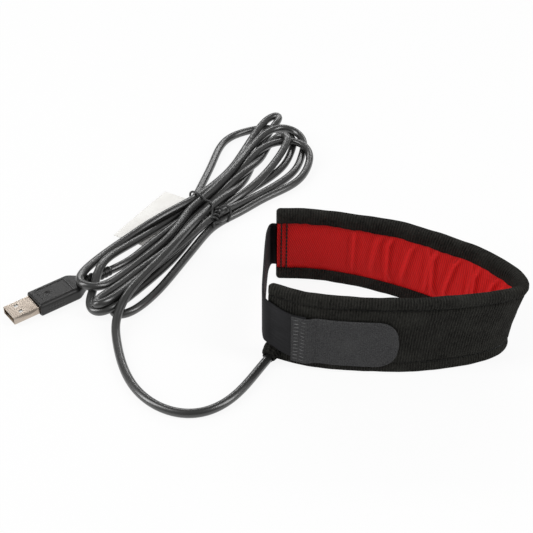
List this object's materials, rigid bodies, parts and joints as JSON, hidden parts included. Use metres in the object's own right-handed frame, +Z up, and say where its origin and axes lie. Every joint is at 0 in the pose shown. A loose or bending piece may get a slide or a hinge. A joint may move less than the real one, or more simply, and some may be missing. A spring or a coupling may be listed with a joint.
{
  "type": "telescope dew heater strip",
  "caption": "Soft heated band for a lens tube: padded strip with red lining, elastic strap with hook tab, and a tied cable with a USB plug.",
  "frame": {"origin": "on the standing surface, under the middle of the band (cable, hank, tie, tag and plug not counted)", "axes": "+Z up, +X along the band loop from its open, strapped end to its bend, +Y away from the hook tab"},
  "size_m": [0.2758, 0.2726, 0.0465],
  "materials": {
    "pile_cloth": "black brushed loop pile, matt, soft short fibres",
    "red_nylon": "woven red nylon taffeta with a slight sheen and fine diagonal weave",
    "elastic_webbing": "dark grey ribbed elastic webbing",
    "hook_cloth": "dark grey hook tape, rough and matt",
    "black_thread": "black polyester sewing thread",
    "grey_thread": "dark grey sewing thread",
    "grey_foam": "closed-cell foam sheet",
    "amber_film": "amber polyimide film",
    "foil": "etched metal foil",
    "copper": "bare copper pads",
    "red_insulation": "red wire insulation",
    "black_insulation": "black wire insulation",
    "cable_jacket": "smooth black flexible cable jacket, satin",
    "tie_plastic": "black plastic-coated twist wire",
    "tag_paper": "plain white coated paper label",
    "plug_rubber": "black moulded plug, fine satin grain",
    "plug_steel": "plated steel shell",
    "white_plastic": "white moulded insulator",
    "gold_plate": "gold-plated contacts"
  },
  "bodies": {
    "root": {"outer_cover": "pile_cloth", "insulation_foam": "grey_foam", "heater_film": "amber_film", "heater_track": "foil", "terminal_pad_a": "copper", "terminal_pad_b": "copper", "lead_wire_red": "red_insulation", "lead_wire_black": "black_insulation", "red_lining": "red_nylon", "hem_thread_top": "black_thread", "hem_thread_bottom": "black_thread", "end_stitch_a": "black_thread", "end_stitch_b": "black_thread", "elastic_strap": "elastic_webbing", "hook_tab": "hook_cloth", "tab_stitching": "grey_thread", "cable_sleeve": "pile_cloth", "cable_run": "cable_jacket", "cable_hank": "cable_jacket", "twist_tie": "tie_plastic", "flag_tag": "tag_paper", "plug_body": "plug_rubber", "plug_shell": "plug_steel", "plug_insulator": "white_plastic", "plug_strain_relief": "plug_rubber", "plug_contact_1": "gold_plate", "plug_contact_2": "gold_plate", "plug_contact_3": "gold_plate", "plug_contact_4": "gold_plate"}
  },
  "joints": []
}
